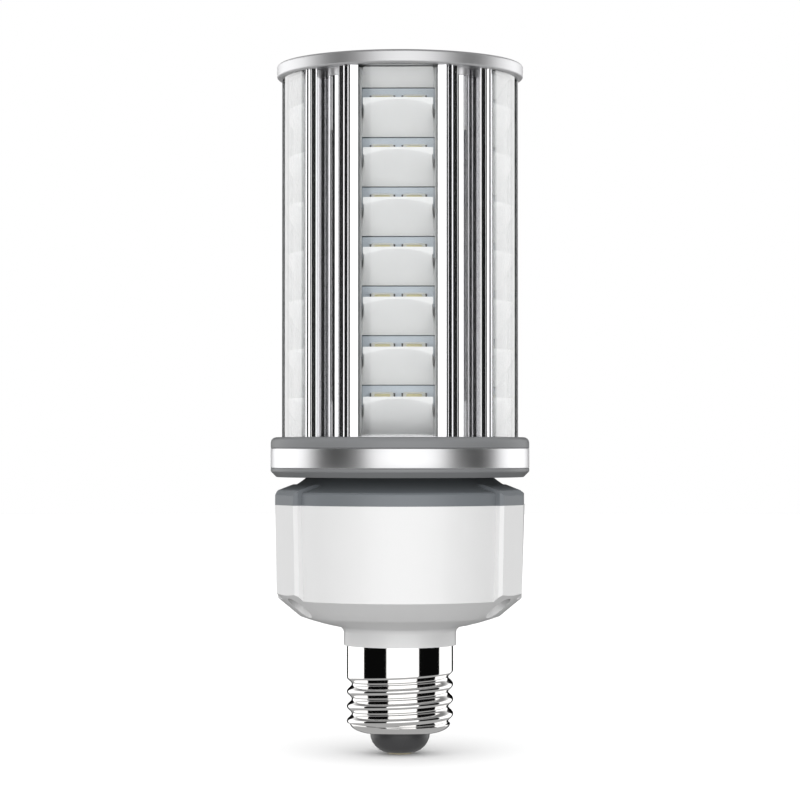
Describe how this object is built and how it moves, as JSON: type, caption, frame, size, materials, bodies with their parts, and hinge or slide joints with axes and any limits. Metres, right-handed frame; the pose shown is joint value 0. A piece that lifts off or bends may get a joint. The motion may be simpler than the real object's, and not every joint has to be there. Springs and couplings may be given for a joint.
{
  "type": "led retrofit area lamp",
  "caption": "Cylindrical LED area lamp with finned heat sink, LED channels under clear covers, flat end cap, grey neck, white driver housing and medium screw base.",
  "frame": {"origin": "on the lamp's axis, where the screw shell meets the end of the housing's collar", "axes": "+Z along the axis from the screw base to the end cap, -Y out of the first channel (the front of the picture), +X to the right seen from the front"},
  "size_m": [0.0638, 0.0639, 0.1696],
  "materials": {
    "polished_aluminium": "polished extrusion with fine lines along it",
    "satin_aluminium": "satin, brushed round the rim",
    "board_white": "white solder mask",
    "led_package": "white package with yellow phosphor",
    "reflector_white": "smooth white",
    "clear_cover": "clear polycarbonate",
    "screw_steel": "zinc plated",
    "ring_grey": "fine satin",
    "brushed_band": "brushed round the band",
    "neck_grey": "fine satin",
    "housing_white": "smooth satin white",
    "base_plating": "bright nickel plating",
    "insulator_black": "black glass-like",
    "contact_metal": "plain",
    "driver_green": "solder mask",
    "driver_parts": "plain",
    "lead_insulation": "silicone"
  },
  "bodies": {
    "root": {"heat_sink": "polished_aluminium", "led_board_1": "board_white", "led_board_2": "board_white", "led_board_3": "board_white", "led_board_4": "board_white", "led_board_5": "board_white", "led_packages_1": "led_package", "led_packages_2": "led_package", "led_packages_3": "led_package", "led_packages_4": "led_package", "led_packages_5": "led_package", "reflector_1": "reflector_white", "reflector_2": "reflector_white", "reflector_3": "reflector_white", "reflector_4": "reflector_white", "reflector_5": "reflector_white", "cover_1": "clear_cover", "cover_2": "clear_cover", "cover_3": "clear_cover", "cover_4": "clear_cover", "cover_5": "clear_cover", "top_cap": "satin_aluminium", "cap_screws": "screw_steel", "base_ring": "ring_grey", "ring_screws": "screw_steel", "trim_band": "brushed_band", "neck": "neck_grey", "neck_screws": "screw_steel", "driver_housing": "housing_white", "housing_screws": "screw_steel", "base_shell": "base_plating", "base_insulator": "insulator_black", "centre_contact": "contact_metal", "driver_board": "driver_green", "transformer": "driver_parts", "capacitors": "driver_parts", "driver_chips": "driver_parts", "output_leads": "lead_insulation", "input_lead": "lead_insulation"}
  },
  "joints": []
}
